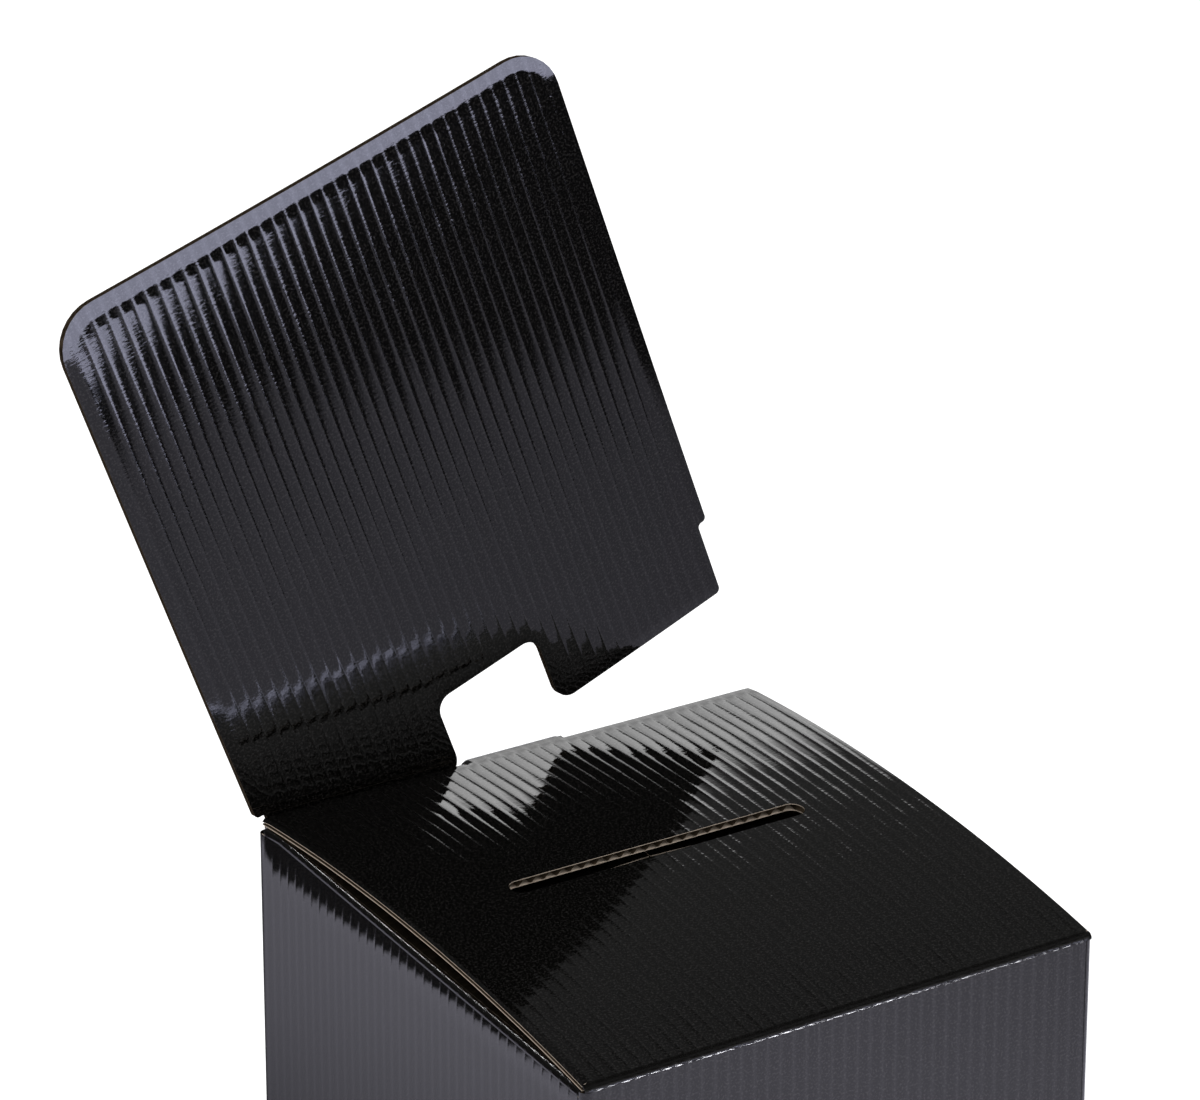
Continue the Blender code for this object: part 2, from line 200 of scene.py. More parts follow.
def kraft(name, brightness, rough, pale="pale", deep="deep"):
    look = kraftLook
    material, graph = newMaterial(name)
    place = objectPlace(graph)
    cloud = graph.grain(place, look["cloudScale"], 4.0, 0.6)
    fibre = graph.grain(stretched(graph, place, look["fibreStretch"]), look["fibreScale"], 3.0, 0.65)
    fleck = graph.grain(place, look["fleckScale"], 2.0, 0.5).over(look["fleckLimit"])
    pale, deep = [tuple(brightness * c for c in look[tone]) for tone in (pale, deep)]
    colour = graph.mixColour(cloud, pale, deep)
    colour = graph.mixColour(fibre * look["fibreShare"], colour, deep)
    colour = graph.mixColour(fleck * look["fleckShare"], colour, look["fleck"])
    bump = graph.add("ShaderNodeBump", {}, {
        "Strength": look["fibreBump"], "Distance": look["fibreHeight"], "Height": fibre,
    })
    shader = graph.add("ShaderNodeBsdfPrincipled", {}, {
        "Base Color": colour, "Roughness": rough, "Normal": bump, "Specular IOR Level": look["specular"],
    })
    graph.add("ShaderNodeOutputMaterial", {}, {"Surface": shader})
    return material


# name, height of the wrinkles, their share between the flutes, scuffing at the flutes' tips, where it starts
blackInk = glossyBlack("varnishedBlackLiner", 0.03 * mm, 0.3, 0.08, -1.0)
wrinkledInk = glossyBlack("wrinkledBlackLiner", 0.16 * mm, 0.15, 0.30, 0.03)
cardInk = glossyBlack("cardBlackLiner", 0.03 * mm, 0.3, 0.06, 0.15)
kraftInside = kraft("kraftLiner", 0.85, 0.85)
# cut edges: paler kraft, also brightened as painted light
kraftEdgePaleWithPaintedLight = kraft("kraftCutEdgePaleWithPaintedLight", 1.0, 0.9, "edgePaleWithPaintedLight", "edgeDeepWithPaintedLight")
# the flutes' kraft is darkened to 0.18 brightness as painted shade for the board's hollows
kraftFlutePaintedShade = kraft("kraftFlutePaintedShade", 0.18, 0.95)
finishes = (blackInk, kraftInside, kraftEdgePaleWithPaintedLight, kraftFlutePaintedShade, wrinkledInk, cardInk)
# the "flute" slot holds that darkened kraft, painted shade
slots = {"black": 0, "inside": 1, "edge": 2, "flute": 3, "wrinkled": 4, "card": 5}
print("finishes made")


def evenly(start, end, longest):
    count = max(1, math.ceil(abs(end - start) / longest))
    return [start + (end - start) * i / count for i in range(count + 1)]


def fluteColumns(low, high, stops):
    pitch, spare = sheet["pitch"], sheet["spare"] * sheet["pitch"]
    first, last = math.floor(low / pitch) - 1, math.ceil(high / pitch) + 1
    places = [(k + stop) * pitch for k in range(first, last) for stop in stops]
    return [low] + [u for u in places if low + spare < u < high - spare] + [high]


def fluteWave(us):
    return np.cos(2 * np.pi * np.asarray(us) / sheet["pitch"])


def slabMesh(name, us, vs, outer, inner):
    nu, nv = len(us), len(vs)
    uu, vv = np.meshgrid(us, vs, indexing="ij")
    upper = np.stack([uu, vv, np.repeat(-np.asarray(outer)[:, None], nv, 1)], -1).reshape(-1, 3)
    lower = np.stack([uu, vv, np.repeat(-np.asarray(inner)[:, None], nv, 1)], -1).reshape(-1, 3)
    at = np.arange(nu * nv).reshape(nu, nv)
    quads = np.stack([at[:-1, :-1], at[1:, :-1], at[1:, 1:], at[:-1, 1:]], -1).reshape(-1, 4)
    under = quads[:, ::-1] + nu * nv
    rim = np.concatenate([at[:-1, 0], at[-1, :-1], at[:0:-1, -1], at[0, :0:-1]])
    ahead = np.roll(rim, -1)
    sides = np.stack([rim, rim + nu * nv, ahead + nu * nv, ahead], -1)
    mesh = bpy.data.meshes.new(name)
    mesh.from_pydata(np.concatenate([upper, lower]), [], np.concatenate([quads, under, sides]))
    return mesh


def prismMesh(name, outline, low, high):
    bm = bmesh.new()
    face = bm.faces.new([bm.verts.new((a, b, low)) for a, b in outline])
    swept = bmesh.ops.extrude_face_region(bm, geom=[face])["geom"]
    moved = [v for v in swept if isinstance(v, bmesh.types.BMVert)]
    bmesh.ops.translate(bm, verts=moved, vec=(0, 0, high - low))
    bmesh.ops.recalc_face_normals(bm, faces=bm.faces)
    mesh = bpy.data.meshes.new(name)
    bm.to_mesh(mesh)
    bm.free()
    return mesh


def trimmed(mesh, cutters):
    # cuts the flat sheet with the die: (operation, outline) pairs
    blank = bpy.data.objects.new("blank", mesh)
    scene.collection.objects.link(blank)
    tools = []
    for operation, outline in cutters:
        blade = prismMesh("knife", outline, sheet["knifeLow"], sheet["knifeHigh"])
        knife = bpy.data.objects.new("knife", blade)
        scene.collection.objects.link(knife)
        modifier = blank.modifiers.new("die", "BOOLEAN")
        modifier.operation = operation
        modifier.solver = "EXACT"
        modifier.object = knife
        tools.append(knife)
    result = bpy.data.meshes.new_from_object(blank.evaluated_get(bpy.context.evaluated_depsgraph_get()))
    for tool in [blank] + tools:
        bpy.data.objects.remove(tool)
    return result


def rounded(corners, steps=8):
    outline = []
    count = len(corners)
    for i, (a, b, radius) in enumerate(corners):
        here = Vector((a, b))
        if not radius:
            outline.append(here)
            continue
        back = (Vector(corners[i - 1][:2]) - here).normalized()
        ahead = (Vector(corners[(i + 1) % count][:2]) - here).normalized()
        half = back.angle(ahead) / 2
        centre = here + (back + ahead).normalized() * radius / math.sin(half)
        first = here + back * radius / math.tan(half) - centre
        sweep = first.angle_signed(here + ahead * radius / math.tan(half) - centre)
        for k in range(steps + 1):
            turn = -sweep * k / steps
            outline.append(centre + Vector((
                first.x * math.cos(turn) - first.y * math.sin(turn),
                first.x * math.sin(turn) + first.y * math.cos(turn),
            )))
    return outline


def stadium(length, width, u, v):
    half, r = length / 2, width / 2
    return rounded([(u - half, v - r, r), (u + half, v - r, r), (u + half, v + r, r), (u - half, v + r, r)])


def fromLine(u, v, line):
    # each point's distance to a line of corners on the sheet
    nearest = np.full(len(u), 1.0)
    for (a0, b0), (a1, b1) in zip(line[:-1], line[1:]):
        along = Vector((a1 - a0, b1 - b0))
        share = ((u - a0) * along.x + (v - b0) * along.y) / max(along.length_squared, 1e-12)
        share = np.clip(share, 0, 1)
        nearest = np.minimum(nearest, np.hypot(u - a0 - share * along.x, v - b0 - share * along.y))
    return nearest


def squashed(u, v, depth, edges, sink, power):
    # washboards the skin between the flutes' tips, and presses the board down where it was cut or creased
    pressed, calm = np.zeros(len(u)), np.zeros(len(u))
    for line, width, force, bend in edges:
        share = np.clip(1 - fromLine(u, v, line) / width, 0, 1)
        pressed = np.minimum(pressed + force * share ** bend, sheet["pressLimit"])
        calm = np.maximum(calm, np.minimum(2 * share, 1))
    flute = np.round(u / sheet["pitch"])
    vary = [noise.noise(Vector((k * 3.7, b / sheet["unevenSize"], power))) for k, b in zip(flute, v)]
    swell = np.cos(np.pi * u / sheet["pitch"]) ** 2
    ridge = (1 - sheet["hump"]) * swell ** power + sheet["hump"] * swell
    top = depth < sheet["liner"] * 1.5
    sag = sink * (1 - ridge) * (1 + sheet["uneven"] * np.array(vary)) * (1 - calm)
    depth = depth + np.where(top, sag, 0)
    return sheet["thickness"] - (sheet["thickness"] - depth) * (1 - pressed), calm


def boardLayers(name, us, vs, layers):
    t, liner, core = sheet["thickness"], sheet["liner"], sheet["core"]
    fine = fluteColumns(*us, sheet["stops"])
    wavy = fluteColumns(*us, [k / sheet["coreSteps"] for k in range(sheet["coreSteps"])])
    plain = evenly(us[0], us[1], sheet["coarse"])
    swing = t / 2 - liner - core / 2 - sheet["slack"]
    middle = t / 2 - swing * fluteWave(wavy)
    parts = (
        ("skin", slabMesh(name + "Skin", fine, vs, np.zeros(len(fine)), np.full(len(fine), liner))),
        ("core", slabMesh(name + "Core", wavy, vs, middle - core / 2, middle + core / 2)),
        ("back", slabMesh(name + "Back", plain, vs, np.full(len(plain), t - liner), np.full(len(plain), t))),
    )
    return parts[:layers]


def layerSlot(layer, up, single, rim, ink):
    # the finish of a face of the flat sheet, where up is the height of its normal
    # the fluted core takes the kraft darkened as painted shade
    if layer == "core":
        return slots["flute"]
    if layer == "skin" and up > 0.5:
        return ink
    if up < -0.5 and (layer == "back" or single):
        return slots["inside"]
    return rim


# rims default to the "edge" finish, paler kraft brightened as painted light
def corrugated(name, us, vs, place, body, node, cutters=(), edges=(), sink=1.0, power=None, layers=3,
               rim=slots["edge"], ink=slots["black"]):
    # us: (low, high) across the flutes, vs: rows along them, place: (u, v, depth) to (x, y, z), as arrays,
    # sink: how deep the washboard is, as a number or along v
    bm = bmesh.new()
    spots = []
    for layer, mesh in boardLayers(name, us, vs, layers):
        if cutters:
            mesh = trimmed(mesh, cutters)
        first, firstVert = len(bm.faces), len(bm.verts)
        bm.from_mesh(mesh)
        bm.faces.ensure_lookup_table()
        bm.verts.ensure_lookup_table()
        for face in bm.faces[first:]:
            face.normal_update()
            face.smooth = True
            face.material_index = layerSlot(layer, face.normal.z, layers == 1, rim, ink)
        at = np.array([v.co for v in bm.verts[firstVert:]])
        force = sheet["sink"] * (sink(at[:, 1]) if callable(sink) else sink) if layer == "skin" else 0
        spots.append([at[:, 0], at[:, 1], *squashed(
            at[:, 0], at[:, 1], -at[:, 2], edges, force, power or sheet["ridge"])])
    u, v, depth, calm = np.concatenate(spots, axis=1)
    for vert, spot in zip(bm.verts, np.stack(place(u, v, depth), -1)):
        vert.co = spot
    bmesh.ops.recalc_face_normals(bm, faces=bm.faces)
    mesh = bpy.data.meshes.new(name)
    bm.to_mesh(mesh)
    bm.free()
    mesh.set_sharp_from_angle(angle=math.radians(sheet["sharpAngle"]))
    label = mesh.attributes.new("sheet", "FLOAT_VECTOR", "POINT")
    label.data.foreach_set("vector", np.stack([u, v, calm], -1).ravel().astype(np.float32))
    for material in finishes:
        mesh.materials.append(material)
    board = bpy.data.objects.new(name, mesh)
    scene.collection.objects.link(board)
    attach(board, body)
    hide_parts(node)
    return board


# the carton's own sizes: its outer faces come from the frame, the rest is as in the part's source
halfW = -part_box("left_panel")[0].x
halfD = -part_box("front_panel")[0].y
t = sheet["thickness"]
gap, hair = 0.3 * mm, 0.1 * mm
lidLeft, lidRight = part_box("lid_panel")[0].x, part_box("lid_panel")[1].x
carton = {
    "frontHeight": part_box("lid_crease")[1].z, "rise": 23.4 * mm, "arch": 9.5 * mm, "lidBack": halfD - 3 * mm,
    "cornerRadius": 4.2 * mm, "lidRadius": 4.2 * mm, "flapSpring": 5 * mm,
    "leanLow": 8 * mm, "leanHigh": 28 * mm, "leanSlope": 0.07, "leanFade": 14 * mm,
}
# longest steps between the rows of each sheet; arc and side are shares of the row's own length
step = {
    "lid": 8 * mm, "wall": 30 * mm, "wallTop": 2 * mm, "arc": 0.1, "side": 0.09, "sideTop": 0.01,
    "dust": 24 * mm, "bottom": 60 * mm, "card": 12 * mm, "cardCorner": 1.5 * mm,
}
# slow unevenness, so that reflections aren't ruler straight: size, depth and layer of noise
unevenness = {
    "lid": (55 * mm, 0.25 * mm, 3.1), "front": (90 * mm, 0.3 * mm, 7.7), "back": (90 * mm, 0.3 * mm, 9.2),
    "left": (90 * mm, 0.3 * mm, 4.0), "right": (90 * mm, 0.3 * mm, 6.0),
}
# the washboard's depth on each sheet, as a share of the sheet's sink
washboard = {
    "lidFront": 0.4, "lidBack": 1.6, "lidStart": 20 * mm, "lidSpan": 80 * mm, "lidCrease": 2, "front": 0.5,
    "side": 0.7, "dustCrease": 0.35, "card": 0.8,
}
# how a cut or creased edge is pressed down: width, share of the thickness, bend
press = {
    "back": (9 * mm, 0.20, 1.3), "side": (4 * mm, 0.05, 1.3), "lip": (1.2 * mm, 0.34, 1.5),
    "card": (8 * mm, 0.05, 1.4), "level": (14 * mm, 0.0, 1.0), "roll": (0.6, 0.0, 1.0),
    "end": (3 * mm, 0.28, 1.6), "calm": (5 * mm, 0.0, 1.0),
}
ringR, lidR = carton["cornerRadius"], carton["lidRadius"]
leadIn = math.atan2(carton["rise"] + 4 * carton["arch"], carton["lidBack"] + halfD)
wallTop = carton["frontHeight"] - lidR
lidStartY = -halfD + lidR - lidR * math.sin(leadIn)
lidStartZ = wallTop + lidR * math.cos(leadIn)


def chord(y):
    return carton["frontHeight"] + carton["rise"] * (y + halfD) / (carton["lidBack"] + halfD)


def archShare(y):
    share = np.clip((y + halfD) / (carton["lidBack"] + halfD), 0, 1)
    return 4 * share * (1 - share)


def lidSurface(y):
    share = np.clip((y - lidStartY) / (carton["lidBack"] - lidStartY), 0, 1)
    straight = lidStartZ + (chord(carton["lidBack"]) - lidStartZ) * share
    return straight + carton["arch"] * 4 * share * (1 - share)


def dips(u, v, piece):
    size, depth, layer = unevenness[piece]
    return depth * np.abs([noise.noise(Vector((a / size, b / size, layer))) for a, b in zip(u, v)])


def lidPlace(u, v, depth):
    slope = (lidSurface(v + hair) - lidSurface(v - hair)) / (2 * hair)
    slope = np.where(v > carton["lidBack"] - hair, 0, slope)
    length = np.sqrt(1 + slope ** 2)
    return u, v + depth * slope / length, lidSurface(v) - dips(u, v, "lid") - depth / length


def lidSink(v):
    # the washboard gets deeper towards the lid's torn edge
    share = np.clip((v - washboard["lidStart"]) / washboard["lidSpan"], 0, 1)
    return washboard["lidFront"] + (washboard["lidBack"] - washboard["lidFront"]) * share


def nearRows(edge, inward, width):
    # extra rows beside a pressed edge
    return [edge + inward * width * share for share in (0.05, 0.12, 0.2, 0.35, 0.5, 0.7, 1.0)]


def ends(low, high, rows=(0, 1)):
    # the two raw ends of a bent strip
    return [([(u, rows[0]), (u, rows[1])], *press["end"]) for u in (low, high)]


slotCut = {"length": 178 * mm, "width": 12.7 * mm, "y": 10.5 * mm, "more": 4 * mm}
tab = {
    "width": 60 * mm, "x": 3 * mm, "corner": 12 * mm, "slitLength": 64 * mm, "slitWidth": 6 * mm,
    "slitFall": 4.2 * mm,
}
tabLeft, tabRight = tab["x"] - tab["width"] / 2, tab["x"] + tab["width"] / 2


def makeLid():
    tear, neck = carton["lidBack"], halfD
    outline = [
        (lidLeft, lidStartY), (lidRight, lidStartY), (lidRight, tear), (tabRight, tear), (tabRight, neck),
        (tabLeft, neck), (tabLeft, tear), (lidLeft, tear),
    ]
    slot = stadium(slotCut["length"], slotCut["width"], 0, slotCut["y"])
    rows = sorted(evenly(lidStartY, neck, step["lid"]) + nearRows(tear, -1, press["back"][0]) + [tear + hair])
    back = [
        (lidLeft, tear), (tabLeft, tear), (tabLeft, neck),
        (tabRight, neck), (tabRight, tear), (lidRight, tear),
    ]
    edges = [
        (back, *press["back"]),
        ([(lidLeft, lidStartY), (lidRight, lidStartY)], *press["calm"]),
        ([(tabLeft, tear), (tabLeft, neck)], *press["end"]),
    ]
    for end in (lidLeft, lidRight):
        edges += [([(end, lidStartY), (end, tear)], *press[kind]) for kind in ("side", "lip")]
    corrugated(
        "lidBoard", (lidLeft - mm, lidRight + mm), [rows[0] - mm] + rows + [neck + mm], lidPlace,
        "lid", "lid_panel", cutters=(("INTERSECT", outline), ("DIFFERENCE", slot)), edges=edges,
        ink=slots["wrinkled"], sink=lidSink,
    )


def ringPlace(centre, radius, sweep):
    # bends a strip round a crease: v runs from 0 to 1 along the arc
    def place(u, v, depth):
        angle = sweep[0] + (sweep[1] - sweep[0]) * v
        return u, centre[0] + (radius - depth) * np.cos(angle), centre[1] + (radius - depth) * np.sin(angle)
    return place


def makeLidCrease():
    place = ringPlace((-halfD + lidR, wallTop), lidR, (math.pi, math.pi / 2 + leadIn))
    corrugated(
        "lidCreaseRoll", (lidLeft, lidRight), evenly(0, 1, step["arc"]), place, "box", "lid_crease",
        sink=washboard["lidCrease"], rim=slots["black"], layers=1,
        edges=ends(lidLeft, lidRight) + [([(lidLeft, 1), (lidRight, 1)], *press["roll"])],
    )


def makeWalls():
    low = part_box("front_panel")[0]
    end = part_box("front_panel")[1].x - hair

    def frontPlace(u, v, depth):
        return u, -halfD + depth + dips(u, v, "front"), v
    rows = evenly(low.z, wallTop - 5 * step["wallTop"], step["wall"])
    rows += evenly(wallTop - 4 * step["wallTop"], wallTop, step["wallTop"])
    corrugated(
        "frontBoard", (-end, end), rows, frontPlace, "box", "front_panel", sink=washboard["front"],
        rim=slots["black"],
    )

    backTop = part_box("back_panel")[1].z

    def backPlace(u, v, depth):
        return u, halfD - depth - dips(u, v, "back"), v
    slit = stadium(tab["slitLength"], tab["slitWidth"], tab["x"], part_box("tuck_tab")[0].z - tab["slitFall"])
    corrugated(
        "backBoard", (-end, halfW), evenly(low.z, backTop, step["wall"]), backPlace, "box", "back_panel",
        cutters=(("DIFFERENCE", slit),),
    )

    for side, sign in (("left", -1), ("right", 1)):
        first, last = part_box(side + "_panel")[0].y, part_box(side + "_panel")[1].y
        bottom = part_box(side + "_panel")[0].z

        def sidePlace(u, v, depth, side=side, sign=sign, bottom=bottom):
            top = chord(u) - 2 * t - gap
            z = bottom + (top - bottom) * v
            lean = leanIn(top - z, u, depth)
            return sign * (halfW - depth - lean - dips(u, z, side)), u, z
        rows = evenly(0, 0.86, step["side"]) + evenly(0.87, 1, step["sideTop"])
        corrugated(
            side + "Board", (first, last), rows, sidePlace, "box", side + "_panel", sink=washboard["side"],
        )


def leanIn(below, y, depth):
    # the side panels' outer faces are crushed in towards their upper creases, more so at the back
    height = carton["leanLow"] + (carton["leanHigh"] - carton["leanLow"]) * (y + halfD) / (2 * halfD)
    fade = np.clip((halfD - ringR - y) / carton["leanFade"], 0, 1)
    crush = fade * (1 - depth / sheet["thickness"])
    return carton["leanSlope"] * height * crush * np.clip(1 - below / height, 0, 1) ** 2


def makeCornerCreases():
    for node, name, x, y, start in (
        ("front_left_crease", "frontLeftCorner", -1, -1, 1.0),
        ("front_right_crease", "frontRightCorner", 1, -1, 1.5),
        ("back_left_crease", "backLeftCorner", -1, 1, 0.5),
    ):
        low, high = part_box(node)[0].z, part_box(node)[1].z
        high = max(high, wallTop) if y < 0 else high
        centreX, centreY = x * (halfW - ringR), y * (halfD - ringR)
        sweep = ringR * math.pi / 2

        def place(u, v, depth, cx=centreX, cy=centreY, start=start):
            angle = math.pi * (start + u / (ringR * math.pi))
            return cx + (ringR - depth) * np.cos(angle), cy + (ringR - depth) * np.sin(angle), v
        corrugated(
            name, (0, sweep), evenly(low, high, step["wall"]), place, "box", node, sink=0, rim=slots["black"],
        )


def makeDust():
    slope = carton["rise"] / (carton["lidBack"] + halfD)
    root, free = halfW - t - hair, 0.5 * mm
    length, width = slotCut["length"] + slotCut["more"], slotCut["width"] + slotCut["more"]
    slot = [(v, u) for u, v in stadium(length, width, 0, slotCut["y"])]
    for side, sign in (("left", -1), ("right", 1)):
        low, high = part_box(side + "_dust_crease")

        def creasePlace(u, v, depth, sign=sign):
            angle = v * math.pi / 2
            x = halfW - t - leanIn(0, u, depth) * (1 - v) + (t - depth) * np.cos(angle)
            return sign * x, u, chord(u) - 2 * t - gap + (t - depth) * np.sin(angle)
        corrugated(
            side + "DustCrease", (low.y, high.y), evenly(0, 1, step["arc"]), creasePlace, "box",
            side + "_dust_crease", sink=washboard["dustCrease"], power=1, rim=slots["black"], layers=1,
            edges=ends(low.y, high.y),
        )
        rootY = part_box(side + "_dust_flap")[1].y
        freeY = rootY - (root - free) * slope

        def flapPlace(u, v, depth, sign=sign):
            share = np.clip((root - v) / (root - free), 0, 1)
            return sign * v, u, chord(u) - t - gap + carton["flapSpring"] * share * archShare(u) - depth
        outline = [(freeY, free), (-freeY, free), (-rootY, root), (rootY, root)]
        rows = [free - mm] + evenly(free, root, step["dust"]) + [root + mm]
        corrugated(
            side + "DustBoard", (-rootY - mm, rootY + mm), rows, flapPlace, side + "_dust_flap",
            side + "_dust_flap", cutters=(("INTERSECT", outline), ("DIFFERENCE", slot[::-1])),
        )


def makeTab():
    low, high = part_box("tuck_tab")
    top = high.z + 2 * hair
    outline = rounded([
        (tabLeft, top, 0), (tabLeft, low.z, tab["corner"]),
        (tabRight, low.z, tab["corner"]), (tabRight, top, 0),
    ])
    rows = evenly(low.z, top, step["lid"])
    edges = [([tuple(p) for p in outline], *press[kind]) for kind in ("side", "lip")]
    corrugated(
        "tabBoard", (tabLeft - mm, tabRight + mm), [rows[0] - mm] + rows + [top + mm],
        lambda u, v, depth: (u, high.y - depth, v), "tuck_tab", "tuck_tab",
        cutters=(("INTERSECT", outline),), edges=edges,
    )
    # the fold starts at the neck's pressed height and ends in the tab's outer face
    fall = t * press["back"][1]
    radius = high.y - halfD
    centre = (halfD + hair / 2, chord(carton["lidBack"]) - fall - radius)
    place = ringPlace(centre, radius, (math.pi / 2, 0))
    corrugated(
        "tabCreaseRoll", (tabLeft, tabRight), evenly(0, 1, step["arc"]), place, "lid", "tuck_tab_crease",
        sink=0, rim=slots["black"], layers=1, edges=ends(tabLeft, tabRight),
    )


def makeBottom():
    for side, sign in (("left", -1), ("right", 1)):
        low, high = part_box("bottom_" + side + "_flap")
        rows = evenly(*sorted((abs(low.x), abs(high.x))), step["bottom"])
        corrugated(
            "bottom" + side.title() + "Board", (low.y, high.y), rows,
            lambda u, v, depth, sign=sign, low=low: (sign * v, u, low.z + depth), "bottom_" + side + "_flap",
            "bottom_" + side + "_flap",
        )
    for side, sign in (("front", -1), ("back", 1)):
        low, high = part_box("bottom_" + side + "_flap")
        corrugated(
            "bottom" + side.title() + "Board", (low.x, high.x), evenly(low.y, high.y, step["bottom"]),
            lambda u, v, depth: (u, v, depth), "bottom_" + side + "_flap", "bottom_" + side + "_flap",
        )
    for node in ("bottom_left_crease", "bottom_right_crease", "bottom_front_crease", "bottom_back_crease",
                 "glue_flap_crease"):
        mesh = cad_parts[node].data
        mesh.materials.clear()
        mesh.materials.append(blackInk)


def makeGlueFlap():
    low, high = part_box("glue_flap")
    corrugated(
        "glueBoard", (low.x, high.x), evenly(low.z, high.z, step["bottom"]),
        lambda u, v, depth: (u, high.y - depth, v), "box", "glue_flap",
    )


header = {
    "width": 305.5 * mm, "height": 338.7 * mm, "topCorner": 25.5 * mm,
    "stepHeight": 42.5 * mm, "stepIn": 6 * mm, "stepCorner": 2.5 * mm,
    "notchWidth": 67.7 * mm, "notchX": -1.55 * mm, "notchDepth": 42.5 * mm, "notchCorner": 9 * mm,
    "tongueCorner": 10 * mm, "lowerCorner": 3 * mm, "twist": 5 * mm, "sideBow": 2.5 * mm,
    "endBow": 0.8 * mm, "flatHeight": 150 * mm, "place": (8.5 * mm, halfD + 7.8 * mm, 356.5 * mm),
    "lean": -4.7, "roll": -18.4, "yaw": 0.45,
}


def makeHeader():
    half, foot = header["width"] / 2, header["width"] / 2 - header["stepIn"]
    left, right = header["notchX"] - header["notchWidth"] / 2, header["notchX"] + header["notchWidth"] / 2
    high, shoulder, notch = header["height"], header["stepHeight"], header["notchDepth"]
    outline = rounded([
        (-foot, 0, header["lowerCorner"]), (left, 0, header["tongueCorner"]),
        (left, notch, header["notchCorner"]), (right, notch, header["notchCorner"]),
        (right, 0, header["tongueCorner"]), (foot, 0, header["lowerCorner"]),
        (foot, shoulder, header["stepCorner"]), (half, shoulder, header["stepCorner"]),
        (half, high, header["topCorner"]), (-half, high, header["topCorner"]),
        (-half, shoulder, header["stepCorner"]), (-foot, shoulder, header["stepCorner"]),
    ])
    turn = np.array(Euler([math.radians(header[k]) for k in ("lean", "roll", "yaw")], "YXZ").to_matrix())

    def place(u, v, depth):
        across, along = u / half, (v - header["flatHeight"]) / (high / 2)
        bow = header["twist"] * across * along - header["sideBow"] * across ** 2
        bow = bow + header["endBow"] * along ** 2
        spots = np.stack([u, depth - bow, v]).T @ turn.T + np.array(header["place"])
        return spots[:, 0], spots[:, 1], spots[:, 2]
    margin = press["card"][0]
    rows = evenly(0, high, step["card"]) + nearRows(0, 1, margin) + nearRows(high, -1, margin)
    rows += evenly(high - header["topCorner"], high - margin, step["cardCorner"])
    edges = [([tuple(p) for p in outline + outline[:1]], *press[kind]) for kind in ("card", "level")]
    corrugated(
        "headerBoard", (-half - mm, half + mm), [-mm] + sorted(set(rows)) + [high + mm], place, "header_card",
        "header_card", cutters=(("INTERSECT", outline),), edges=edges, sink=washboard["card"],
        # the header's cut edges take the same darkened kraft, painted shade
        rim=slots["flute"], ink=slots["card"],
    )


makeLid()
makeLidCrease()
print("lid made")
makeWalls()
makeCornerCreases()
print("walls made")
makeDust()
makeTab()
makeBottom()
makeGlueFlap()
print("flaps made")
makeHeader()
print("header made")

# floor, light and camera
# edges on the floor are (x, y, distance) lines; heights in the room are the ray's own height, from -1 to 1
studio = {
    "floorSize": 14, "floorWhite": 0.85, "floorGlow": 0.55, "ambient": 0.75, "dark": 0.04,
    "near": 0.7, "far": 1.35, "nearWhite": 1.1, "farWhite": 0.68, "tint": (0.95, 0.93, 1.10),
    "frontEnd": (0.74, -0.67, 2.05), "frontWidth": 0.10, "leftEnd": (-0.9, 0.43, 0.88), "leftWidth": 0.05,
    "frontLine": (0.0, 1.0, 0.15), "frontLineWidth": 0.2, "leftRamp": (-2.4, 0.0, 0.43),
    "rightFall": (0.45, 0.0, 0.16), "backLine": (0.0, 1.0, 1.7), "backWidth": 0.3,
    "rightLine": (1.0, 0.0, 0.5), "rightWidth": 0.4,
    "cardWhite": 1.1, "cardMore": 1.5, "cardMiddle": 0.28, "cardGrow": 0.14, "cardTop": 0.44,
    "cardFade": 0.06, "cardFacing": (0.55, 0.83, 0.0), "cardSide": 0.88, "cardSideFade": 0.06,
    "room": 0.09, "roomTop": 0.74, "roomFade": 0.08,
    "frontRoom": 0.45, "frontTop": 0.26, "frontFade": 0.12, "frontFrom": -0.6, "frontSoft": 0.3,
}
cameraRay, glossyRay = 0, 3


def rayKind(graph, kind):
    return graph.add("ShaderNodeLightPath", {}, {}, kind)


def dotWith(graph, place, direction):
    return graph.add("ShaderNodeVectorMath", {"operation": "DOT_PRODUCT"}, {0: place, 1: direction}, 1)


def beyond(graph, place, line):
    # how far a point lies beyond a straight edge on the floor
    x, y, distance = studio[line]
    return dotWith(graph, place, (x, y, 0)) - distance


def floorLight(graph, place):
    # what glossy rays see of the floor: a lit pool that ends in straight edges, and a sweep behind the box
    distance = graph.add("ShaderNodeVectorMath", {"operation": "LENGTH"}, {0: place}, 1)
    share = ((distance - studio["near"]) / (studio["far"] - studio["near"])).clamped()
    level = share * (studio["farWhite"] - studio["nearWhite"]) + studio["nearWhite"]
    lit = beyond(graph, place, "frontEnd").under(0.0, studio["frontWidth"])
    lit = lit * beyond(graph, place, "leftEnd").under(0.0, studio["leftWidth"])
    ahead = beyond(graph, place, "frontLine").under(0.0, studio["frontLineWidth"])
    lit = lit * (ahead + (1.0 - ahead) * beyond(graph, place, "leftRamp").clamped())
    lit = lit * (1.0 - beyond(graph, place, "rightFall").clamped() * ahead)
    sweep = (1.0 - beyond(graph, place, "backLine").under(0.0, studio["backWidth"])) * studio["cardWhite"]
    sweep = sweep * (1.0 - beyond(graph, place, "rightLine").under(0.0, studio["rightWidth"]))
    return lit * level + sweep + studio["dark"]


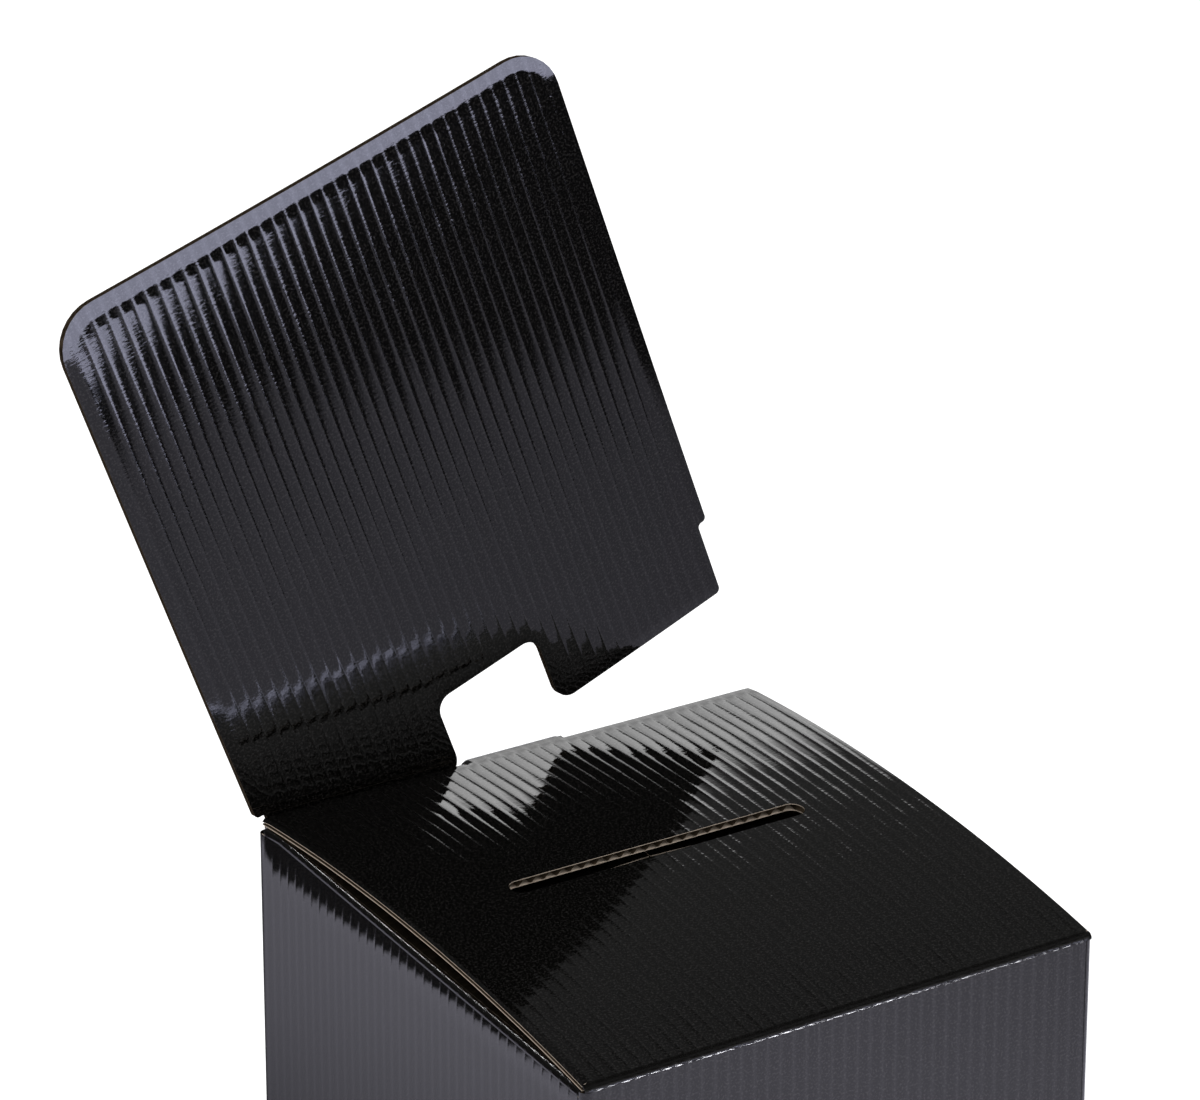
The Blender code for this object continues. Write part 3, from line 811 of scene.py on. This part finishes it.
def makeFloor():
    mesh = bpy.data.meshes.new("floorPlane")
    bm = bmesh.new()
    bmesh.ops.create_grid(bm, x_segments=1, y_segments=1, size=studio["floorSize"])
    bm.to_mesh(mesh)
    bm.free()
    floor = bpy.data.objects.new("paleFloor", mesh)
    floor.location.z = -0.5 * mm
    scene.collection.objects.link(floor)
    material, graph = newMaterial("paleFloor")
    place = objectPlace(graph)
    diffuse = graph.add("ShaderNodeBsdfDiffuse", {}, {"Color": (studio["floorWhite"],) * 3})
    glow = graph.add("ShaderNodeEmission", {}, {"Color": (1.0, 1.0, 1.0), "Strength": studio["floorGlow"]})
    both = graph.add("ShaderNodeAddShader", {}, {0: diffuse, 1: glow})
    light = floorLight(graph, place)
    pool = graph.add("ShaderNodeEmission", {}, {"Color": studio["tint"], "Strength": light})
    surface = graph.add("ShaderNodeMixShader", {}, {0: rayKind(graph, cameraRay), 1: diffuse, 2: both})
    surface = graph.add("ShaderNodeMixShader", {}, {0: rayKind(graph, glossyRay), 1: surface, 2: pool})
    graph.add("ShaderNodeOutputMaterial", {}, {"Surface": surface})
    mesh.materials.append(material)


def makeWorld():
    # glossy rays see a white card low behind the box, a faint wall in front of it and a dark room elsewhere
    world = bpy.data.worlds.new("studioWhite")
    scene.world = world
    world.use_nodes = True
    graph = Graph(world.node_tree)
    ray = graph.add("ShaderNodeTexCoord", {}, {}, 0)
    depth, height = [graph.add("ShaderNodeSeparateXYZ", {}, {"Vector": ray}, k) for k in (1, 2)]
    ahead = dotWith(graph, ray, studio["cardFacing"])
    low = height.under(studio["cardTop"], studio["cardFade"])
    card = low * (1.0 - ahead.under(studio["cardSide"], studio["cardSideFade"]))
    high = (1.0 - low) * height.under(studio["roomTop"], studio["roomFade"])
    front = depth.under(studio["frontFrom"], studio["frontSoft"])
    front = front * height.under(studio["frontTop"], studio["frontFade"])
    glow = ((height - studio["cardMiddle"]) / studio["cardGrow"]).clamped() * studio["cardMore"]
    level = card * (glow + studio["cardWhite"]) + high * studio["room"] + front * studio["frontRoom"]
    level = level + studio["dark"]
    sky = graph.add("ShaderNodeCombineXYZ", {}, {0: level, 1: level, 2: level})
    plain = graph.mixColour(rayKind(graph, glossyRay), (studio["ambient"],) * 3, sky)
    colour = graph.mixColour(rayKind(graph, cameraRay), plain, (1.0, 1.0, 1.0))
    background = graph.add("ShaderNodeBackground", {}, {"Color": colour, "Strength": 1.0})
    graph.add("ShaderNodeOutputWorld", {}, {"Surface": background})


# name, place, what it faces, width, height, colour, radiance
lamps = (
    ("frontFar", (1.32, -3.45, 0.004), (1.32, -3.45, 1.0), 2.56, 2.1, (0.86, 0.88, 1.15), 5.2),
    ("floorStrip", (0.50, -0.93, 0.004), (0.50, -0.93, 1.0), 0.34, 0.07, (1.0, 1.0, 1.05), 85.0),
    ("backLeft", (-0.67, 1.93, 2.25), (-0.15, 0, 0.33), 0.4, 0.4, (1.0, 1.0, 1.0), 30.0),
)


def makeLamps():
    for name, place, facing, width, height, colour, radiance in lamps:
        light = bpy.data.lights.new(name, "AREA")
        light.shape = "RECTANGLE"
        light.size, light.size_y = width, height
        light.color = colour
        light.energy = radiance * math.pi * width * height
        lamp = bpy.data.objects.new(name, light)
        scene.collection.objects.link(lamp)
        lamp.location = place
        lamp.rotation_euler = (Vector(place) - Vector(facing)).to_track_quat("Z", "Y").to_euler()
        lamp.visible_camera = False


view = {
    "turn": 33.4, "tip": 22.45, "distance": 3058 * mm, "across": -36.41 * mm, "up": 174.7 * mm,
    "lens": 181.17, "aim": -1.5 * mm, "reach": 100,
}


def makeCamera():
    turn, tip = math.radians(view["turn"]), math.radians(view["tip"])
    back = Vector((-math.sin(turn) * math.cos(tip), -math.cos(turn) * math.cos(tip), math.sin(tip)))
    right = Vector((math.cos(turn), -math.sin(turn), 0))
    up = back.cross(right)
    aim = Vector((0, view["aim"], carton["frontHeight"]))
    camera = bpy.data.objects.new("camera", bpy.data.cameras.new("camera"))
    scene.collection.objects.link(camera)
    place = Matrix((right, up, back)).transposed().to_4x4()
    place.translation = aim + right * view["across"] + up * view["up"] + back * view["distance"]
    camera.matrix_world = place
    camera.data.lens = view["lens"]
    camera.data.sensor_fit = "HORIZONTAL"
    camera.data.clip_end = view["reach"]
    scene.camera = camera


makeFloor()
makeWorld()
makeLamps()
makeCamera()
scene.view_settings.view_transform = "Standard"
print("studio made")
